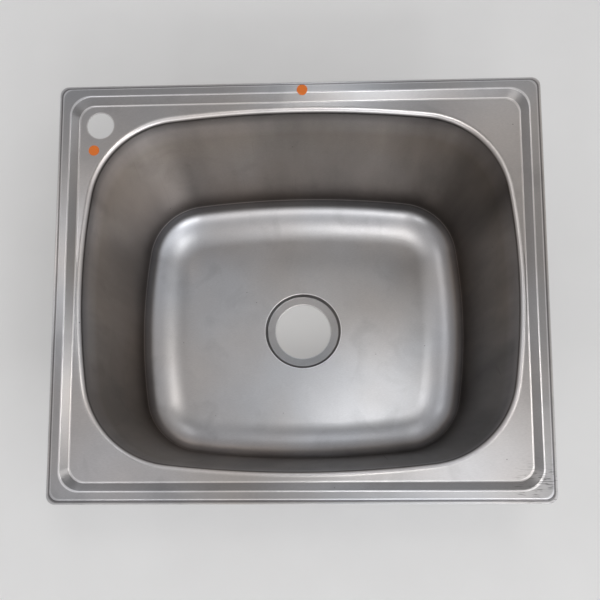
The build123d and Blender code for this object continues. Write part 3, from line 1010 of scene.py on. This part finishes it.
# The head's rings from below, as (height, how far the hexagon has widened into the flange,
# radius that cuts its corners off)
head_rings = []
for z, flange, chamfer in (
    (0.0, 0.0, HEAD_CHAMFER_RADIUS),
    (0.15, 0.0, HEAD_CHAMFER_RADIUS + 0.3),
    (0.75, 0.0, FLANGE_RADIUS),
    (2.2, 0.0, FLANGE_RADIUS),
    (2.62, 0.25, FLANGE_RADIUS),
    (HEAD_HEIGHT - FLANGE_HEIGHT, 0.85, FLANGE_RADIUS),
    (3.0, 0.985, FLANGE_RADIUS),
    (3.2, 1.0, FLANGE_RADIUS),
    (3.85, 1.0, FLANGE_RADIUS),
    (HEAD_HEIGHT, 0.97, FLANGE_RADIUS - 0.15),
):
    ring = []
    for step in range(HEAD_POINTS):
        turn = 2.0 * math.pi * step / HEAD_POINTS
        from_flat = (turn % (math.pi / 3.0)) - math.pi / 6.0
        hexagon = HEAD_ACROSS_FLATS / 2.0 / math.cos(from_flat)
        radius = min(hexagon + (FLANGE_RADIUS - hexagon) * flange, chamfer)
        ring.append((radius * math.cos(turn), radius * math.sin(turn), z))
    head_rings.append(ring)
shank_high = HEAD_HEIGHT + SCREW_LENGTH
taper_low = shank_high - TIP_TAPER
shank = ((CORE_RADIUS, HEAD_HEIGHT), (CORE_RADIUS, taper_low), (TIP_RADIUS, shank_high))
for radius, z in shank:
    head_rings.append(circle((0.0, 0.0), radius, z, HEAD_POINTS))
head_points = [tuple(Vector(p) * MM) for ring in head_rings for p in ring]
head_starts = range(0, len(head_points), HEAD_POINTS)
head_loops = [range(first, first + HEAD_POINTS) for first in head_starts]
head_faces = [tuple(reversed(head_loops[0]))]
for low, high in zip(head_loops, head_loops[1:]):
    head_faces += ring_band(low, high)
head_faces.append(tuple(head_loops[-1]))
slot_reach = 2.0 * FLANGE_RADIUS
slot_points = []
for z in (-SLOT_OVERRUN, SLOT_DEPTH):
    slot_points += [(x * slot_reach * MM, y * SLOT_WIDTH / 2.0 * MM, z * MM) for x, y in SQUARE]
slot_faces = [(3, 2, 1, 0), (4, 5, 6, 7), (0, 1, 5, 4), (1, 2, 6, 5), (2, 3, 7, 6), (3, 0, 4, 7)]
slot_cutter = mesh_object("slot_cutter", slot_points, slot_faces, screw_zinc)


def screw_maker():
    """A tree that winds a thread on a screw's core and stands the screw in its place."""
    tree = bpy.data.node_groups.new("screw_maker", "GeometryNodeTree")
    keys = {}
    tree.interface.new_socket("Geometry", in_out="OUTPUT", socket_type="NodeSocketGeometry")
    tree.interface.new_socket("Core", in_out="INPUT", socket_type="NodeSocketGeometry")
    for label, kind in (
        ("Place", "NodeSocketVector"),
        ("Helix Radius", "NodeSocketFloat"),
        ("Ridge Half", "NodeSocketFloat"),
        ("Turns", "NodeSocketFloat"),
        ("Height", "NodeSocketFloat"),
        ("Start", "NodeSocketVector"),
    ):
        keys[label] = tree.interface.new_socket(label, in_out="INPUT", socket_type=kind).identifier
    ports = tree.nodes.new("NodeGroupInput")
    result = tree.nodes.new("NodeGroupOutput")
    helix = tree.nodes.new("GeometryNodeCurveSpiral")
    helix.inputs["Resolution"].default_value = THREAD_STEPS
    upright = tree.nodes.new("GeometryNodeSetCurveNormal")
    upright.mode = "Z_UP"
    ridge = tree.nodes.new("GeometryNodeCurvePrimitiveCircle")
    ridge.inputs["Resolution"].default_value = RIDGE_SIDES
    sweep = tree.nodes.new("GeometryNodeCurveToMesh")
    sweep.inputs["Fill Caps"].default_value = True
    raise_thread = tree.nodes.new("GeometryNodeTransform")
    join = tree.nodes.new("GeometryNodeJoinGeometry")
    stand = tree.nodes.new("GeometryNodeTransform")
    realize = tree.nodes.new("GeometryNodeRealizeInstances")
    finish = tree.nodes.new("GeometryNodeSetMaterial")
    finish.inputs["Material"].default_value = screw_zinc
    for start, end in (
        (ports.outputs["Helix Radius"], helix.inputs["Start Radius"]),
        (ports.outputs["Helix Radius"], helix.inputs["End Radius"]),
        (ports.outputs["Turns"], helix.inputs["Rotations"]),
        (ports.outputs["Height"], helix.inputs["Height"]),
        (ports.outputs["Ridge Half"], ridge.inputs["Radius"]),
        (helix.outputs["Curve"], upright.inputs["Curve"]),
        (upright.outputs["Curve"], sweep.inputs["Curve"]),
        (ridge.outputs["Curve"], sweep.inputs["Profile Curve"]),
        (sweep.outputs["Mesh"], raise_thread.inputs["Geometry"]),
        (ports.outputs["Start"], raise_thread.inputs["Translation"]),
        (ports.outputs["Core"], join.inputs["Geometry"]),
        (raise_thread.outputs["Geometry"], join.inputs["Geometry"]),
        (join.outputs["Geometry"], stand.inputs["Geometry"]),
        (ports.outputs["Place"], stand.inputs["Translation"]),
        (stand.outputs["Geometry"], realize.inputs["Geometry"]),
        (realize.outputs["Geometry"], finish.inputs["Geometry"]),
        (finish.outputs["Geometry"], result.inputs["Geometry"]),
    ):
        tree.links.new(start, end)
    return tree, keys


def plain_mesh(piece):
    """Turns a piece's modifiers into a plain mesh."""
    depsgraph = bpy.context.evaluated_depsgraph_get()
    made = bpy.data.meshes.new_from_object(piece.evaluated_get(depsgraph))
    piece.modifiers.clear()
    piece.data = made


screw_group, screw_keys = screw_maker()
thread_run = SCREW_LENGTH - 2.0 * TIP_TAPER
for spot, (x, y) in CLIP_SPOTS.items():
    screw = mesh_object(f"screw_{spot}", head_points, head_faces, screw_zinc)
    slot = screw.modifiers.new("slot", "BOOLEAN")
    slot.object = slot_cutter
    slot.solver = "EXACT"
    thread = screw.modifiers.new("thread", "NODES")
    thread.node_group = screw_group
    thread[screw_keys["Place"]] = (x * MM, y * MM, SCREW_LOW * MM)
    thread[screw_keys["Helix Radius"]] = (THREAD_TOP - THREAD_HALF) * MM
    thread[screw_keys["Ridge Half"]] = THREAD_HALF * MM
    thread[screw_keys["Turns"]] = thread_run / SCREW_PITCH
    thread[screw_keys["Height"]] = thread_run * MM
    thread[screw_keys["Start"]] = (0.0, 0.0, (HEAD_HEIGHT + THREAD_FROM_HEAD) * MM)
    plain_mesh(screw)
    screw.data.set_sharp_from_angle(angle=SHARP_ANGLE)
    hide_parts(f"clip_screw_{spot}")
    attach(screw, f"screw_{spot}")
bpy.data.objects.remove(slot_cutter)
